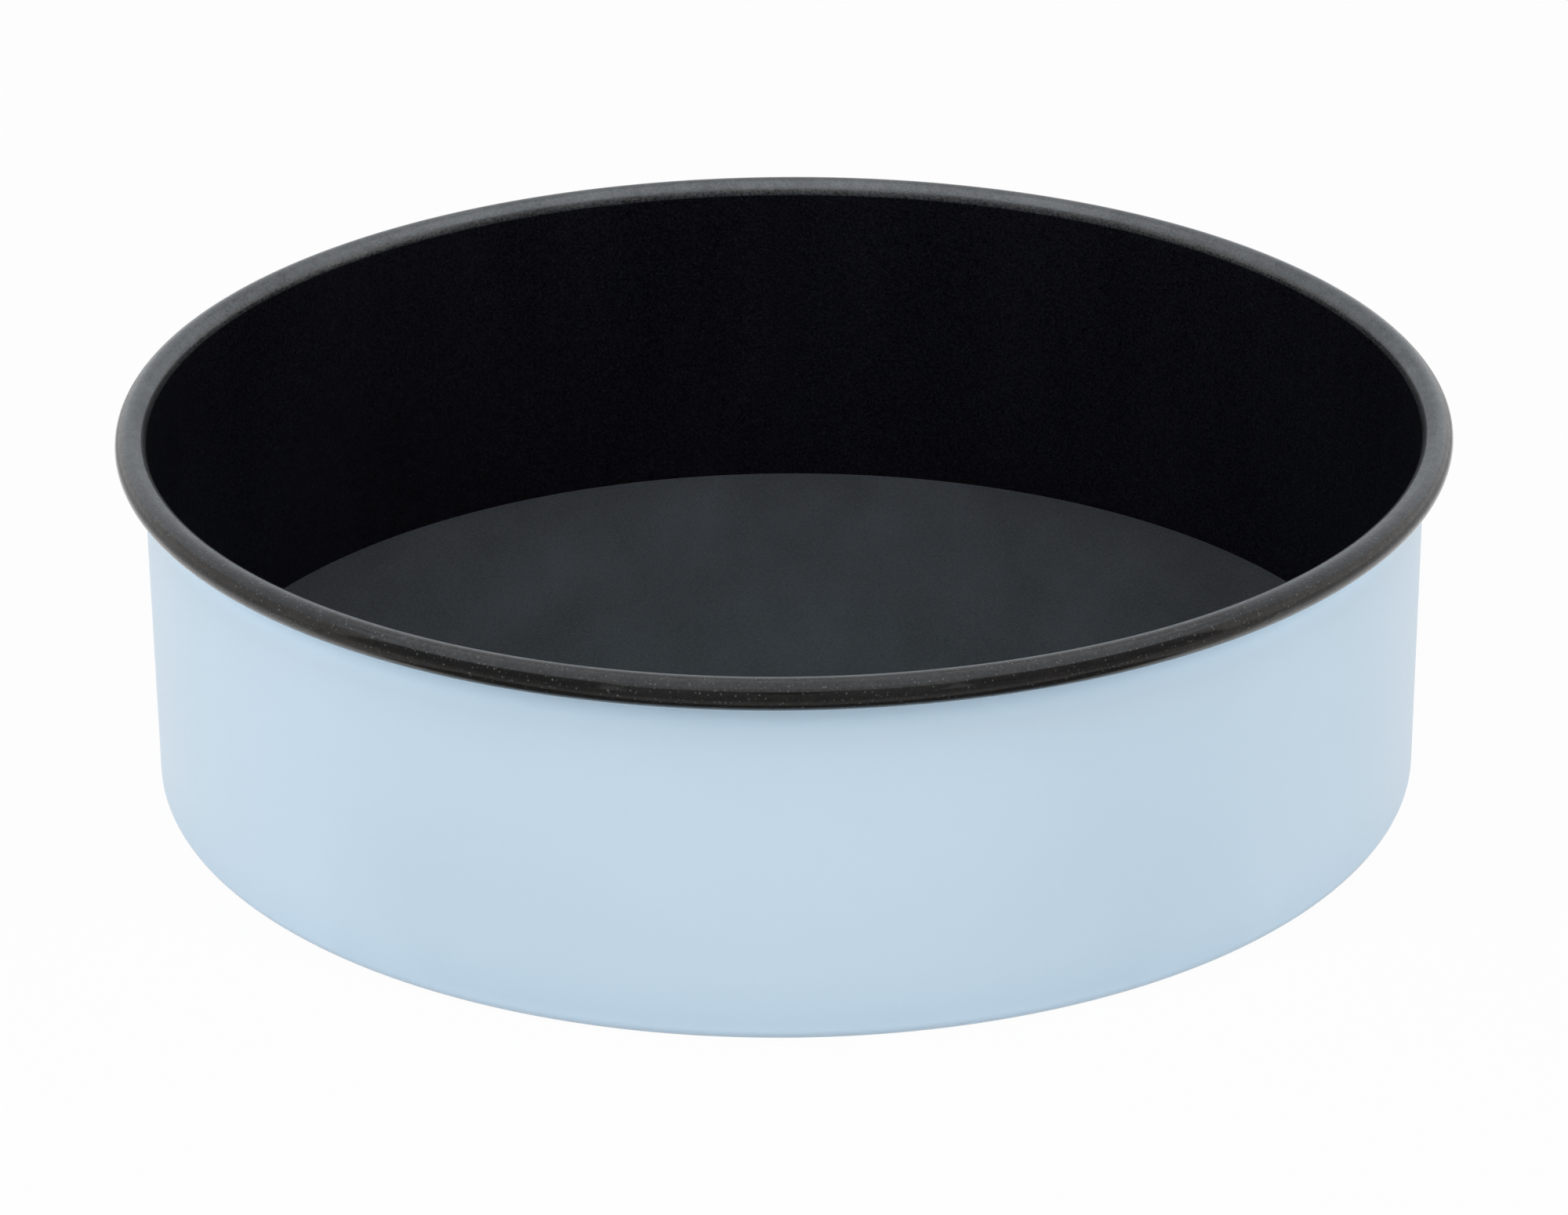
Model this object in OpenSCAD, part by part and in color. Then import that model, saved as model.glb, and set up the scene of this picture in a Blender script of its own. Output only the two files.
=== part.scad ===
// A round, deep, straight-sided cake tin with a loose base that pushes up and out.
// The ring is one steel sheet. Its top edge is rolled outwards round a wire and makes the rim.
// Its bottom edge is rolled inwards and makes the foot, which carries the base.
// The sheet has a dark non-stick coat on its inside face and a blue lacquer on its outside face,
// so the non-stick face shows on the rim, and the lacquered face shows on the foot.
// The origin is the centre of the plane that the foot stands on, and +Z points up.

/* [Ring] */
// Diameter inside the ring
bore_d = 229; // [120:1:340]
// Height from the table to the top of the rim
ring_h = 68; // [40:1:120]
// Thickness of the ring's sheet
sheet_t = 0.6; // [0.4:0.05:1]
// Gap between each rolled edge and the wall beside it
tuck_gap = 0.15; // [0.05:0.05:0.5]

/* [Rim] */
// Width across the rolled rim
rim_bead_d = 5.5; // [4.5:0.1:8]
// Clearance all round the wire inside the rolled rim
wire_clear = 0.05; // [0.02:0.01:0.15]

/* [Foot] */
// Height of the rolled foot, which holds the base off the table
foot_bead_d = 4.6; // [3.8:0.1:8]
// Width of the flat land on the foot's top and underside
foot_land_w = 1.5; // [0.5:0.1:4]

/* [Loose base] */
// Thickness of the base
base_t = 0.8; // [0.6:0.1:2]
// Clearance all round between the base and the ring
base_clear = 0.8; // [0.2:0.1:1]
// Radius of the eased edge of the base
base_edge_r = 0.2; // [0.05:0.05:0.25]

/* [Finish] */
// Colour of the lacquer outside
lacquer_colour = "LightSteelBlue"; // [LightSteelBlue, SteelBlue, IndianRed, DimGray]
// Colour of the non-stick coat inside
nonstick_colour = "DarkSlateGray"; // [DarkSlateGray, Black, DimGray]
// Colour of the wire in the rim
wire_colour = "Silver"; // [Silver, DarkGray]

/* [Hidden] */
$fn = 180;
// Share of the sheet's thickness that is drawn in the colour of the non-stick coat
coat_share = 0.5;
coat_line = sheet_t * coat_share;
bore_r = bore_d / 2;
wall_r = bore_r + sheet_t;
rim_r = rim_bead_d / 2;
rim_centre_r = bore_r + rim_r;
rim_centre_z = ring_h - rim_r;
wire_r = rim_r - sheet_t - wire_clear;
foot_r = foot_bead_d / 2;
foot_centre_r = wall_r - foot_r;
seat_z = foot_bead_d;
base_r = bore_r - base_clear;

// Angle of a bead that is left open, so that its rolled edge stops short of the wall
function tuck_angle(bead_r) = acos((bead_r - sheet_t - tuck_gap) / bead_r);

// The opening of a bead, a wedge that starts along -X and turns towards -Y
module tuck_wedge(bead_r) {
    open_angle = tuck_angle(bead_r);
    reach = bead_r / cos(open_angle / 2);
    polygon([
        [0, 0],
        [-reach, 0],
        [-reach * cos(open_angle), -reach * sin(open_angle)]
    ]);
}

// A circle drawn out sideways by the foot's land, with its outer centre at the origin
module flattened_circle(r) {
    circle(r = r);
    translate([-foot_land_w, 0]) circle(r = r);
    translate([-foot_land_w, -r]) square([foot_land_w, 2 * r]);
}

// Each section below is drawn between two depths in the sheet, measured from its non-stick face

// The rim, rolled outwards, with the non-stick face on the outside of the roll
module rim_section(near, far) {
    translate([rim_centre_r, rim_centre_z]) difference() {
        circle(r = rim_r - near);
        circle(r = rim_r - far);
        tuck_wedge(rim_r);
    }
}

// The upright wall
module wall_section(near, far) {
    translate([bore_r + near, foot_r]) square([far - near, rim_centre_z - foot_r]);
}

// The foot, rolled inwards, with the lacquered face on the outside of the roll
module foot_section(near, far) {
    inner_r = foot_r - sheet_t;
    translate([foot_centre_r, foot_r]) difference() {
        flattened_circle(inner_r + far);
        flattened_circle(inner_r + near);
        rotate(180) tuck_wedge(foot_r);
    }
}

// The whole sheet of the ring, or one skin of it
module ring_skin(near, far) {
    rotate_extrude() union() {
        rim_section(near, far);
        wall_section(near, far);
        foot_section(near, far);
    }
}

// One skin of the base, with its eased edge at the top
module base_skin(height) {
    rotate_extrude() union() {
        square([base_r - base_edge_r, height]);
        square([base_r, height - base_edge_r]);
        translate([base_r - base_edge_r, height - base_edge_r]) circle(r = base_edge_r);
    }
}

module pan_ring() {
    color(lacquer_colour) ring_skin(coat_line, sheet_t);
    color(nonstick_colour) ring_skin(0, coat_line);
}

module rim_wire() {
    color(wire_colour)
        rotate_extrude() translate([rim_centre_r, rim_centre_z]) circle(r = wire_r);
}

module loose_base() {
    coat_t = base_t * coat_share;
    translate([0, 0, seat_z + base_t - coat_t]) color(nonstick_colour) base_skin(coat_t);
    translate([0, 0, seat_z + base_t - coat_t]) mirror([0, 0, 1])
        color(lacquer_colour) base_skin(base_t - coat_t);
}

pan_ring();
rim_wire();
loose_base();
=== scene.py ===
"""A round, deep cake tin with a loose base: light-blue satin lacquer outside, and a dark non-stick
coat inside and over the rolled rim. The ring, the wire in its rim and the loose base are modelled
here as rolled sheet, drawn wire and pressed sheet, in the places of the frame."""

import math

import bmesh
import bpy
from mathutils import Matrix, Vector


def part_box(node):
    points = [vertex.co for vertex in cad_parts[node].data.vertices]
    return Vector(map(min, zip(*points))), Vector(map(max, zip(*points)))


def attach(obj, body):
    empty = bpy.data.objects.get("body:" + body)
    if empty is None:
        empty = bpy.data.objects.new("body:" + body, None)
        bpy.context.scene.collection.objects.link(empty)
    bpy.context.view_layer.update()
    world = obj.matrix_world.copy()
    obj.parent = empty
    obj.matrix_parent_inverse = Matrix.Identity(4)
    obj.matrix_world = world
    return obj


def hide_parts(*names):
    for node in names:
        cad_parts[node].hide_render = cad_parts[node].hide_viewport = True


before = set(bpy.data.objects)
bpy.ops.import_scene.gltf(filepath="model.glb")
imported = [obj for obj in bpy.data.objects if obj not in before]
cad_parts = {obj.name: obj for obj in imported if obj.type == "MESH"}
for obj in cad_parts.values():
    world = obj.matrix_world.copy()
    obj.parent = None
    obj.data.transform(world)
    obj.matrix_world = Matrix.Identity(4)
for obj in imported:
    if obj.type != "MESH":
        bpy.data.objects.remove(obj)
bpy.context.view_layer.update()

MM = 0.001

# Sizes of the tin. The frame gives what it can, and the gauges and small rolls repeat the CAD's.
_, ring_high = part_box("pan_ring")
base_low, base_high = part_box("loose_base")
RIM_OUTER = ring_high.x
RING_HEIGHT = ring_high.z
BASE_RADIUS = base_high.x
SEAT_HEIGHT = base_low.z
BASE_TOP = base_high.z
SHEET = 0.6 * MM
TUCK_GAP = 0.15 * MM
RIM_BEAD = 5.5 * MM
FOOT_LAND = 1.5 * MM
WIRE_CLEARANCE = 0.05 * MM
BASE_EDGE = 0.2 * MM

RIM_RADIUS = RIM_BEAD / 2
BORE_RADIUS = RIM_OUTER - RIM_BEAD
RIM_CENTRE = Vector((RIM_OUTER - RIM_RADIUS, 0, RING_HEIGHT - RIM_RADIUS))
FOOT_RADIUS = SEAT_HEIGHT / 2
FOOT_CENTRE = Vector((BORE_RADIUS + SHEET - FOOT_RADIUS, 0, FOOT_RADIUS))
WIRE_RADIUS = RIM_RADIUS - SHEET - WIRE_CLEARANCE

# Steps round the tin and round its small rolls, and how near two points are when they are one
TURN_STEPS = 320
ROLL_STEPS = 40
WALL_STEPS = 8
EDGE_SEGMENTS = 3
SHARP_ANGLE = math.radians(40)
SAME_POINT = 0.001 * MM

# The camera, as the photograph's frame gives it, with angles in degrees
CAMERA_DISTANCE = 0.98932
CAMERA_ELEVATION = 22.3265
CAMERA_TILT = -2.1564
CAMERA_TURN = 0.0132
CAMERA_ROLL = 0.4132
CAMERA_LENS = 125.98
SENSOR_WIDTH = 36
NEAREST_SEEN = 0.05
FURTHEST_SEEN = 50

# The table and the sky. Most of the table's white is plain white, and the rest takes the light,
# so that a soft shadow still shows.
TABLE_REACH = 6.0
TABLE_TONE = 0.60
TABLE_LIT_SHARE = 0.04
SKY_LIGHT = 0.42

# What lamps and cards face, how far the two back boxes lean outwards, and how high the cards that
# stand in for the table lie
AIM = Vector((0, 0, RING_HEIGHT / 2))
LEAN_OUT = Matrix.Rotation(math.radians(28), 4, "Z")
TABLE_CARD_HEIGHT = 2 * MM


class Number:
    """A number that varies over a surface. An expression on it adds its Math nodes."""

    def __init__(self, nodes, socket):
        self.nodes = nodes
        self.socket = socket

    def math(self, operation, *values):
        return self.nodes.node("ShaderNodeMath", list(values), operation=operation)

    def __add__(self, other):
        return self.math("ADD", self, other)

    def __radd__(self, other):
        return self.math("ADD", other, self)

    def __sub__(self, other):
        return self.math("SUBTRACT", self, other)

    def __rsub__(self, other):
        return self.math("SUBTRACT", other, self)

    def __mul__(self, other):
        return self.math("MULTIPLY", self, other)

    def __rmul__(self, other):
        return self.math("MULTIPLY", other, self)

    def __lt__(self, other):
        return self.math("LESS_THAN", self, other)

    def larger(self, other):
        """The larger of two numbers."""
        return self.math("MAXIMUM", self, other)


class Nodes:
    """The nodes of a material or a world."""

    def __init__(self, owner, end):
        owner.use_nodes = True
        self.tree = owner.node_tree
        self.tree.nodes.clear()
        self.end = self.tree.nodes.new(end)

    def put(self, socket, value):
        """Links a value to a socket, or sets the socket to a plain value."""
        if isinstance(value, Number):
            self.tree.links.new(value.socket, socket)
        else:
            socket.default_value = value

    def node(self, kind, inputs, output=0, **settings):
        """A node of a kind, with its settings first and then the values of its sockets."""
        node = self.tree.nodes.new(kind)
        for name, value in settings.items():
            setattr(node, name, value)
        named = enumerate(inputs) if isinstance(inputs, list) else inputs.items()
        for key, value in named:
            self.put(node.inputs[key], value)
        return Number(self, node.outputs[output])

    def mix(self, share, first, second, kind="MIX"):
        """Two colours, mixed in one of the Mix node's ways. Its inputs 6 and 7 and its output 2 are
        the ones for colours."""
        inputs = {0: share, 6: first, 7: second}
        return self.node("ShaderNodeMix", inputs, 2, data_type="RGBA", blend_type=kind)

    def background_ray(self):
        """1 for rays that see the white background: the camera's, mirrored and transmitted ones."""
        seen = self.node("ShaderNodeLightPath", {}, "Is Camera Ray")
        for kind in ("Is Glossy Ray", "Is Transmission Ray"):
            seen = seen.larger(self.node("ShaderNodeLightPath", {}, kind))
        return seen


class Paint(Nodes):
    """The nodes of one material, whose patterns follow the place on the piece."""

    def __init__(self, name):
        self.material = bpy.data.materials.new(name)
        super().__init__(self.material, "ShaderNodeOutputMaterial")

    def place(self):
        """The point on the piece, in metres."""
        return self.node("ShaderNodeTexCoord", {}, "Object")

    def stretched_place(self, stretch):
        """The point on the piece, with a pattern on it stretched along each axis."""
        scale = [1 / by for by in stretch]
        return self.node("ShaderNodeMapping", {"Vector": self.place(), "Scale": scale})

    def height(self):
        """The height over the table."""
        return self.node("ShaderNodeSeparateXYZ", [self.place()], "Z")

    def radius(self):
        """The distance from the tin's axis."""
        flat = self.node("ShaderNodeVectorMath", [self.place(), (1, 1, 0)], operation="MULTIPLY")
        return self.node("ShaderNodeVectorMath", [flat], "Value", operation="LENGTH")

    def rise(self, number, start, end):
        """0 up to a start and 1 from an end on, with an eased rise between them."""
        inputs = {"Value": number, "From Min": start, "From Max": end}
        return self.node("ShaderNodeMapRange", inputs, interpolation_type="SMOOTHSTEP")

    def fall(self, number, start, end):
        """1 up to a start and 0 from an end on, with an eased fall between them."""
        return 1 - self.rise(number, start, end)

    def noise(self, size, detail=2.0, roughness=0.5, place=None):
        """Cloudy noise round zero, mostly from -1 to 1, whose clouds are about one size across."""
        vector = place or self.place()
        inputs = {"Vector": vector, "Scale": 1 / size, "Detail": detail, "Roughness": roughness}
        return (self.node("ShaderNodeTexNoise", inputs, "Fac") - 0.5) * 4.0

    def flecks(self, cell, full, gone, share):
        """Small round flecks of uneven strength, in a share of the cells. How far from its centre a
        fleck is full, and where it is gone, are parts of a cell."""
        spots = {"Vector": self.place(), "Scale": 1 / cell}
        distance = self.node("ShaderNodeTexVoronoi", spots, "Distance")
        colour = self.node("ShaderNodeTexVoronoi", spots, "Color")
        strength = self.node("ShaderNodeSeparateColor", [colour], "Red")
        kept = self.node("ShaderNodeSeparateColor", [colour], "Green") < share
        return self.fall(distance, full, gone) * kept * (0.25 + 0.75 * strength)

    def shade(self, colour, factor):
        """A colour made lighter or darker by a number."""
        return self.mix(1.0, colour, factor, "MULTIPLY")

    def bump(self, height, distance, strength):
        """The surface's direction over a relief of some height."""
        inputs = {"Height": height, "Distance": distance, "Strength": strength}
        return self.node("ShaderNodeBump", inputs)

    def finish(self, **inputs):
        """Closes the material with one principled surface."""
        names = {key.replace("_", " "): value for key, value in inputs.items()}
        surface = self.node("ShaderNodeBsdfPrincipled", names)
        self.put(self.end.inputs["Surface"], surface)
        return self.material


def grey(tone, blueness=0.0):
    """A grey of a tone, a little blue or, below zero, a little warm."""
    return (tone * (1 - blueness), tone, tone * (1 + blueness), 1)


def rim_masks(paint):
    """Where the ring's coat lies over the roll of the rim, where the rim's inner shoulder carries its
    painted highlight, and how far its gloss is worn there."""
    radius = paint.radius()
    on_roll = paint.rise(radius, BORE_RADIUS + 0.02 * MM, BORE_RADIUS + 0.35 * MM)
    on_top = paint.rise(paint.height(), RIM_CENTRE.z - 0.1 * MM, RIM_CENTRE.z + 0.6 * MM)
    shoulder = on_top * paint.fall(radius, BORE_RADIUS + 2.1 * MM, BORE_RADIUS + 3.1 * MM)
    worn = 0.50 * paint.fall(radius, BORE_RADIUS + 1.2 * MM, BORE_RADIUS + 3.4 * MM)
    return on_roll, shoulder, worn


def ring_coat():
    """The ring's non-stick coat: near black on the wall, which is painted shade, as the loose base
    carries the same coat far paler; glossier over the roll of the rim; and palest on the rim's inner
    shoulder, a painted highlight where the top of the roll faces the light from above, with its gloss
    worn lower there."""
    # The wall's near black is painted shade: the loose base carries the same coat far paler.
    shaded_wall_black = (0.0041, 0.0042, 0.0061, 1)
    roll_black = (0.0058, 0.0052, 0.0050, 1)
    paint = Paint("ring_coat")
    on_roll, shoulder, worn = rim_masks(paint)
    streaks = paint.noise(22 * MM, place=paint.stretched_place((1, 1, 4)))
    grain = paint.noise(0.50 * MM, roughness=0.7)
    mottle = paint.noise(2.6 * MM, detail=3.0, roughness=0.6)
    dust = 0.60 * paint.flecks(0.80 * MM, full=0.05, gone=0.28, share=0.90)
    sparks = 0.80 * paint.flecks(1.5 * MM, full=0.03, gone=0.16, share=0.80)
    fleck = dust.larger(sparks) * (0.12 + 0.88 * on_roll)
    ground = paint.mix(on_roll, shaded_wall_black, roll_black)
    # Painted highlight: the rim's inner shoulder is painted a paler grey, and made metallic below, where
    # the top of the roll faces the light from above.
    ground = paint.mix(shoulder, ground, grey(0.092, 0.03))
    ground = paint.shade(ground, 1 + (0.9 - 0.64 * on_roll) * grain + 0.14 * mottle + 0.20 * streaks)
    return paint.finish(
        Base_Color=paint.mix(fleck, ground, grey(0.125, 0.02)),
        Roughness=0.36 + 0.03 * grain, Metallic=0.85 * shoulder,
        Specular_IOR_Level=0.10, Specular_Tint=grey(0.60),
        Coat_Weight=on_roll * (1 - worn) * (0.78 + 0.20 * grain + 0.10 * mottle),
        Coat_IOR=1.46, Coat_Roughness=0.09,
        Normal=paint.bump(grain + 0.6 * fleck, distance=0.014 * MM, strength=0.7)
    )


def base_coat():
    """The loose base's coat: matt, a little bluer, and cloudy where the spray overlapped. Its greys are
    painted far paler than the ring's near-black wall, though both carry the same coat: the base is
    the lit copy, painted light. Towards its edge it is painted paler still, painted light against
    the shade of the ring's wall.
    """
    # Painted light: the base's greys are a lit copy of the ring's coat.
    lit_middle_grey = (0.0338, 0.0404, 0.0458, 1)
    lit_edge_grey = (0.0480, 0.0535, 0.0605, 1)
    paint = Paint("base_coat")
    clouds = paint.noise(17 * MM, detail=3.0, roughness=0.55, place=paint.stretched_place((1, 2.2, 1)))
    grain = paint.noise(0.5 * MM, roughness=0.7)
    fleck = paint.flecks(1.3 * MM, full=0.06, gone=0.14, share=0.35)
    # Painted light: paler towards the edge, where the ring's wall shades the base.
    outward = paint.rise(paint.radius(), 0.3 * BASE_RADIUS, BASE_RADIUS)
    ground = paint.mix(outward, lit_middle_grey, lit_edge_grey)
    ground = paint.shade(ground, 1 + 0.15 * clouds + 0.28 * grain)
    return paint.finish(
        Base_Color=paint.mix(0.5 * fleck, ground, grey(0.10, 0.03)),
        Roughness=0.60 + 0.04 * grain, IOR=1.35, Specular_IOR_Level=0.01,
        Normal=paint.bump(grain, distance=0.010 * MM, strength=0.6)
    )


def blue_lacquer():
    """A satin lacquer, almost even, with the faint orange peel of a rolled-on coat. Just under the rim
    it is painted paler and bluer, painted light that lifts the rim's shadow, and towards the foot it
    is painted darker, painted shade.
    """
    wall_blue = (0.523, 0.655, 0.767, 1)
    painted_light_blue = (0.605, 0.815, 1.000, 1)
    painted_shade_blue = (0.498, 0.640, 0.765, 1)
    paint = Paint("blue_lacquer")
    clouds = paint.noise(45 * MM)
    peel = paint.noise(1.4 * MM)
    # Painted light: a paler, bluer band just under the rim, lifting the rim's shadow on the wall.
    under_rim_painted_light = paint.rise(paint.height(), RIM_CENTRE.z - 10 * MM, RIM_CENTRE.z - 2.8 * MM)
    # Painted shade: the lacquer is painted darker over its lowest 13 mm, next to the table.
    foot_painted_shade = paint.fall(paint.height(), 0.5 * MM, 13 * MM)
    ground = paint.mix(under_rim_painted_light, wall_blue, painted_light_blue)
    ground = paint.mix(foot_painted_shade, ground, painted_shade_blue)
    return paint.finish(
        Base_Color=paint.shade(ground, 1 + 0.010 * clouds), Roughness=0.34 + 0.02 * peel, IOR=1.50,
        Normal=paint.bump(peel, distance=0.006 * MM, strength=0.5)
    )


def bright_wire():
    """Drawn steel wire, with faint marks along it."""
    paint = Paint("bright_wire")
    marks = paint.noise(0.6 * MM, detail=3.0, roughness=0.6)
    colour = paint.shade(grey(0.50, 0.01), 1 + 0.18 * marks)
    return paint.finish(Base_Color=colour, Metallic=1.0, Roughness=0.34 + 0.08 * marks)


def cut_steel():
    """The edge where the sheet was sheared: dull steel, half covered by the coats."""
    paint = Paint("cut_steel")
    smear = paint.noise(1.2 * MM, detail=3.0, roughness=0.6)
    colour = paint.mix(0.5 + 0.5 * smear, grey(0.075, 0.06), grey(0.30, 0.02))
    return paint.finish(Base_Color=colour, Metallic=0.8, Roughness=0.5 + 0.1 * smear)


def roll(bm, vert, centre, angle, steps):
    """Rolls the end of a section on round a centre, seen from the front, anticlockwise if above zero."""
    turned = bmesh.ops.spin(
        bm, geom=[vert], cent=centre, axis=(0, -1, 0), angle=angle, steps=steps, use_duplicate=False
    )
    return [v for v in turned["geom_last"] if isinstance(v, bmesh.types.BMVert)][0]


def run(bm, vert, offset, steps=1):
    """Runs the end of a section straight on."""
    for _ in range(steps):
        vert = bmesh.ops.extrude_vert_indiv(bm, verts=[vert])["verts"][0]
        bmesh.ops.translate(bm, verts=[vert], vec=Vector(offset) / steps)
    return vert


def turn_round(bm):
    """Turns a section once round the axis of the tin."""
    geometry = bm.verts[:] + bm.edges[:]
    bmesh.ops.spin(
        bm, geom=geometry, cent=(0, 0, 0), axis=(0, 0, 1), angle=math.tau, steps=TURN_STEPS,
        use_merge=True, use_duplicate=False
    )
    bmesh.ops.remove_doubles(bm, verts=bm.verts[:], dist=SAME_POINT)
    bmesh.ops.recalc_face_normals(bm, faces=bm.faces[:])


def thicken(obj, thickness):
    """Gives a sheet its thickness behind its faces, with the object's second material on its back
    and the third on its cut edges."""
    sheet = obj.modifiers.new("sheet", "SOLIDIFY")
    sheet.thickness = thickness
    sheet.offset = -1
    sheet.use_even_offset = True
    sheet.material_offset = 1
    sheet.material_offset_rim = 2
    shaped = obj.evaluated_get(bpy.context.evaluated_depsgraph_get())
    obj.data = bpy.data.meshes.new_from_object(shaped)
    obj.modifiers.clear()


def piece(name, bm, materials, thickness=0.0):
    """Makes a piece of a bmesh, smooth but for its sharp edges."""
    mesh = bpy.data.meshes.new(name)
    bm.to_mesh(mesh)
    bm.free()
    for material in materials:
        mesh.materials.append(material)
    obj = bpy.data.objects.new(name, mesh)
    bpy.context.scene.collection.objects.link(obj)
    if thickness:
        thicken(obj, thickness)
    obj.data.shade_smooth()
    obj.data.set_sharp_from_angle(angle=SHARP_ANGLE)
    return obj


def tuck_angle(radius):
    """The angle of a roll that is left open, so that its edge stops short of the wall."""
    return math.acos((radius - SHEET - TUCK_GAP) / radius)


def make_ring(coat, lacquer, edge):
    """The ring, drawn along its non-stick face, from the rolled edge of the rim to that of the foot."""
    bm = bmesh.new()
    rim_open = tuck_angle(RIM_RADIUS)
    foot_open = tuck_angle(FOOT_RADIUS)
    start = RIM_CENTRE + RIM_RADIUS * Vector((-math.cos(rim_open), 0, -math.sin(rim_open)))
    end = bmesh.ops.create_vert(bm, co=start)["vert"][0]
    end = roll(bm, end, RIM_CENTRE, math.tau - rim_open, ROLL_STEPS)
    end = run(bm, end, (0, 0, FOOT_CENTRE.z - RIM_CENTRE.z), WALL_STEPS)
    end = roll(bm, end, FOOT_CENTRE, -math.pi / 2, ROLL_STEPS // 4)
    end = run(bm, end, (-FOOT_LAND, 0, 0))
    end = roll(bm, end, FOOT_CENTRE - Vector((FOOT_LAND, 0, 0)), -math.pi, ROLL_STEPS // 2)
    end = run(bm, end, (FOOT_LAND, 0, 0))
    roll(bm, end, FOOT_CENTRE, foot_open - math.pi / 2, ROLL_STEPS // 8)
    turn_round(bm)
    return piece("ring", bm, [coat, lacquer, edge], thickness=SHEET)


def make_wire(steel):
    """The wire ring in the rim."""
    bm = bmesh.new()
    start = RIM_CENTRE + Vector((WIRE_RADIUS, 0, 0))
    end = bmesh.ops.create_vert(bm, co=start)["vert"][0]
    roll(bm, end, RIM_CENTRE, math.tau, ROLL_STEPS // 2)
    bmesh.ops.remove_doubles(bm, verts=bm.verts[:], dist=SAME_POINT)
    turn_round(bm)
    return piece("wire", bm, [steel])


def make_base(coat, lacquer):
    """The loose base: a flat disc with its edges eased, coated on top and lacquered underneath."""
    bm = bmesh.new()
    made = bmesh.ops.create_circle(bm, cap_ends=True, radius=BASE_RADIUS, segments=TURN_STEPS)
    bmesh.ops.translate(bm, verts=made["verts"], vec=(0, 0, SEAT_HEIGHT))
    raised = bmesh.ops.extrude_face_region(bm, geom=bm.faces[:])
    top = [v for v in raised["geom"] if isinstance(v, bmesh.types.BMVert)]
    bmesh.ops.translate(bm, verts=top, vec=(0, 0, BASE_TOP - SEAT_HEIGHT))
    corners = [e for e in bm.edges if abs(e.verts[0].co.z - e.verts[1].co.z) < SAME_POINT]
    bmesh.ops.bevel(
        bm, geom=corners, offset=BASE_EDGE, offset_type="OFFSET", segments=EDGE_SEGMENTS,
        profile=0.5, affect="EDGES", material=-1
    )
    bmesh.ops.recalc_face_normals(bm, faces=bm.faces[:])
    for face in bm.faces:
        looks_down = face.normal.z < -0.5
        face.material_index = 1 if looks_down else 0
    return piece("base", bm, [coat, lacquer])


def make_table():
    """A plain white table."""
    bm = bmesh.new()
    bmesh.ops.create_grid(bm, x_segments=1, y_segments=1, size=TABLE_REACH)
    paint = Paint("white_table")
    lit = paint.node("ShaderNodeBsdfDiffuse", {"Color": grey(TABLE_TONE)})
    white = paint.node("ShaderNodeEmission", {"Color": grey(1)})
    share = paint.background_ray() * (1 - TABLE_LIT_SHARE)
    paint.put(paint.end.inputs["Surface"], paint.node("ShaderNodeMixShader", [share, lit, white]))
    piece("table", bm, [paint.material])


def make_sky():
    """Soft light from all round, which the camera and reflections see as plain white."""
    sky = bpy.data.worlds.new("studio")
    bpy.context.scene.world = sky
    nodes = Nodes(sky, "ShaderNodeOutputWorld")
    strength = SKY_LIGHT + (1 - SKY_LIGHT) * nodes.background_ray()
    white = nodes.node("ShaderNodeBackground", {"Color": grey(1), "Strength": strength})
    nodes.put(nodes.end.inputs["Surface"], white)


def facing(place, target=AIM):
    """The matrix of a lamp or a card at a place, turned to face a point."""
    aim = (Vector(target) - Vector(place)).to_track_quat("-Z", "Y")
    return Matrix.Translation(place) @ aim.to_matrix().to_4x4()


def upright(place):
    """The matrix of an upright card at a place, turned to face the tin's axis."""
    return facing(place, (0, 0, place[2]))


def on_table(x, y, height=TABLE_CARD_HEIGHT):
    """The matrix of a card that lies flat, just over the table."""
    return Matrix.Translation((x, y, height))


def make_lamp(name, place, size, brightness):
    """A soft square lamp that faces the tin. A brightness of 1 is the white of the sky. Reflections
    see the cards in place of the lamps."""
    lamp = bpy.data.lights.new(name, "AREA")
    lamp.shape = "SQUARE"
    lamp.size = size
    lamp.energy = brightness * size * size * math.pi
    obj = bpy.data.objects.new(name, lamp)
    bpy.context.scene.collection.objects.link(obj)
    obj.matrix_world = facing(place)
    obj.visible_camera = False
    obj.visible_glossy = False


def make_card(name, matrix, width, height, tone, blueness=0.0):
    """A bright or dark card that only reflections see, such as a soft box or the camera's front."""
    bm = bmesh.new()
    bmesh.ops.create_grid(bm, x_segments=1, y_segments=1, size=0.5)
    bmesh.ops.scale(bm, verts=bm.verts[:], vec=(width, height, 1))
    bmesh.ops.transform(bm, verts=bm.verts[:], matrix=matrix)
    paint = Paint(name)
    shown = paint.node("ShaderNodeEmission", {"Color": grey(1, blueness), "Strength": tone})
    paint.put(paint.end.inputs["Surface"], shown)
    card = piece(name, bm, [paint.material])
    for kind in ("camera", "diffuse", "transmission", "volume_scatter", "shadow"):
        setattr(card, "visible_" + kind, False)


def camera_place():
    """The camera stands in front of the centre of the rim's top and above it."""
    height = math.radians(CAMERA_ELEVATION)
    away = Vector((0, -math.cos(height), math.sin(height))) * CAMERA_DISTANCE
    return away + Vector((0, 0, RING_HEIGHT))


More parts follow.
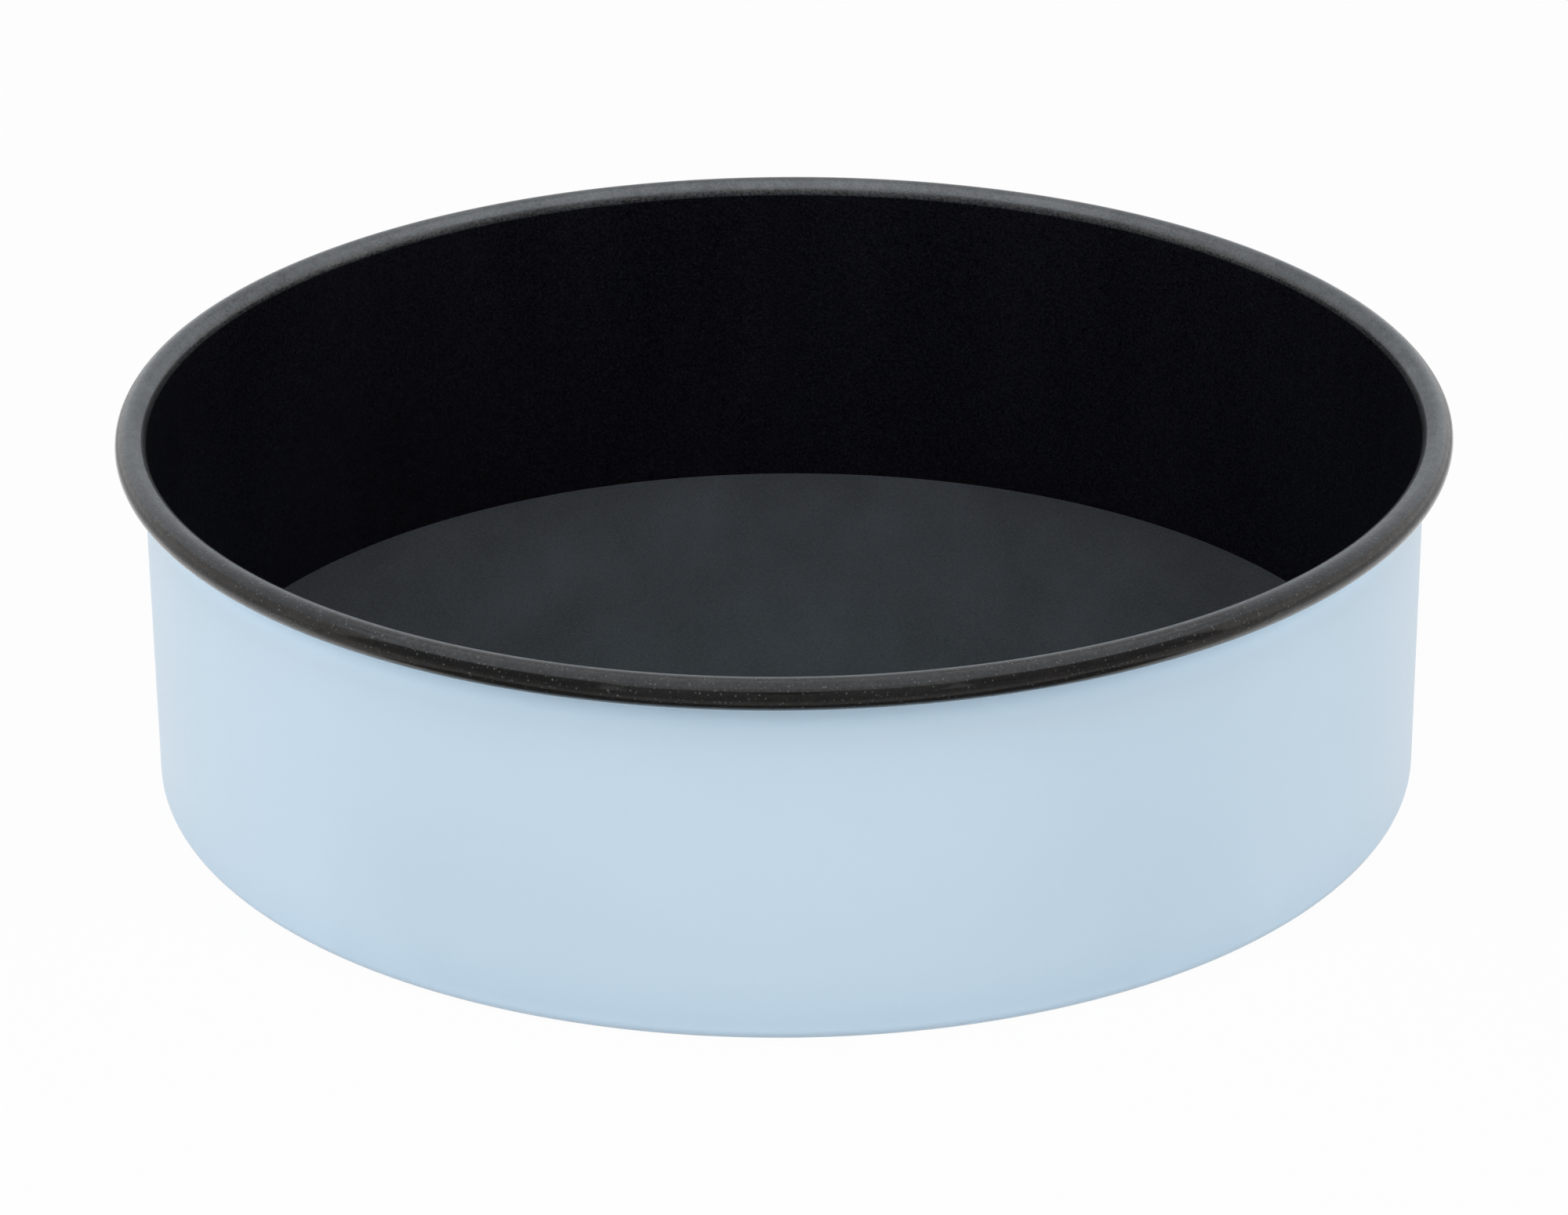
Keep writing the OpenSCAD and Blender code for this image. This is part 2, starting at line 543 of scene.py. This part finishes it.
def make_camera():
    """The camera of the photograph."""
    camera = bpy.data.cameras.new("camera")
    camera.lens = CAMERA_LENS
    camera.sensor_width = SENSOR_WIDTH
    camera.clip_start = NEAREST_SEEN
    camera.clip_end = FURTHEST_SEEN
    obj = bpy.data.objects.new("camera", camera)
    bpy.context.scene.collection.objects.link(obj)
    look_down = math.radians(90 - CAMERA_ELEVATION + CAMERA_TILT)
    obj.matrix_world = (
        Matrix.Translation(camera_place())
        @ Matrix.Rotation(math.radians(CAMERA_TURN), 4, "Z")
        @ Matrix.Rotation(look_down, 4, "X")
        @ Matrix.Rotation(math.radians(-CAMERA_ROLL), 4, "Z")
    )
    bpy.context.scene.camera = obj


make_camera()

coat = ring_coat()
lacquer = blue_lacquer()

ring = make_ring(coat, lacquer, cut_steel())
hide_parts("pan_ring")
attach(ring, "ring")

wire = make_wire(bright_wire())
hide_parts("rim_wire")
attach(wire, "ring")

base = make_base(base_coat(), lacquer)
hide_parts("loose_base")
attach(base, "base")

make_table()
make_sky()

# The lamps. The first two stand in front, the next two in front at the sides, and the last two
# beside the tin, where they light the wall's edges.
make_lamp("top_lamp", (0, -0.70, 1.10), size=0.9, brightness=1.75)
make_lamp("front_lamp", (0, -1.40, 0.30), size=0.7, brightness=0.8)
make_lamp("left_lamp", (-0.95, -0.80, 0.92), size=0.7, brightness=4.8)
make_lamp("right_lamp", (0.95, -0.80, 0.92), size=0.7, brightness=3.9)
make_lamp("left_side_lamp", (-1.20, 0.10, 0.60), size=0.9, brightness=1.50)
make_lamp("right_side_lamp", (1.20, 0.10, 0.60), size=0.9, brightness=1.34)

# The soft boxes that the rim mirrors: above, in front and behind
make_card("top_box", facing((0, -0.10, 1.3)), 3.0, 1.7, tone=1.65, blueness=0.05)
make_card("front_box", facing((0, -1.17, 1.21)), 1.5, 0.46, tone=1.3, blueness=0.03)
left_back = facing((-0.633, 0.656, 0.649)) @ LEAN_OUT
right_back = facing((0.633, 0.656, 0.649)) @ LEAN_OUT.inverted()
make_card("back_left_box", left_back, 1.5, 0.62, tone=1.15, blueness=0.06)
make_card("back_right_box", right_back, 1.5, 0.62, tone=1.25, blueness=0.06)
make_card("back_box", upright((0, 1.15, 0.63)), 0.9, 1.1, tone=0.95, blueness=0.05)

# The camera's front and the dark of the room round it
make_card("camera_front", facing(camera_place() * 1.05), 0.18, 0.13, tone=0.0)
make_card("dark_front", facing((0, -1.45, 0.45)), 1.4, 0.95, tone=0.38)
make_card("dark_left_front", upright((-1.15, -0.96, 0.62)), 1.2, 1.3, tone=0.22)
make_card("dark_right_front", upright((1.15, -0.96, 0.62)), 1.2, 1.3, tone=0.22)

# The room's walls at both sides
make_card("left_wall", upright((-1.5, 0.15, 0.45)), 1.7, 0.95, tone=0.84, blueness=-0.03)
make_card("right_wall", upright((1.5, 0.15, 0.45)), 1.7, 0.95, tone=1.06, blueness=-0.03)

# The table as reflections see it: greyer than the white one, and darkest at the foot, where the
# near card and the foot's card are painted shadow of the tin.
make_card("left_table", on_table(-0.72, 0.45), 1.0, 1.06, tone=0.64)
make_card("right_table", on_table(0.72, 0.45), 1.0, 1.06, tone=0.64)
make_card("far_table", on_table(0, -0.83), 2.6, 1.24, tone=0.34)
# Painted shadow: dark cards in front of the foot stand in for the tin's shadow on the table.
make_card("near_table_shadow", on_table(0, -0.1475), 1.0, 0.125, tone=0.60, blueness=-0.03)
make_card("foot_shadow", on_table(0, -0.124, 3 * MM), 0.24, 0.052, tone=0.10)

bpy.context.scene.view_settings.view_transform = "Standard"
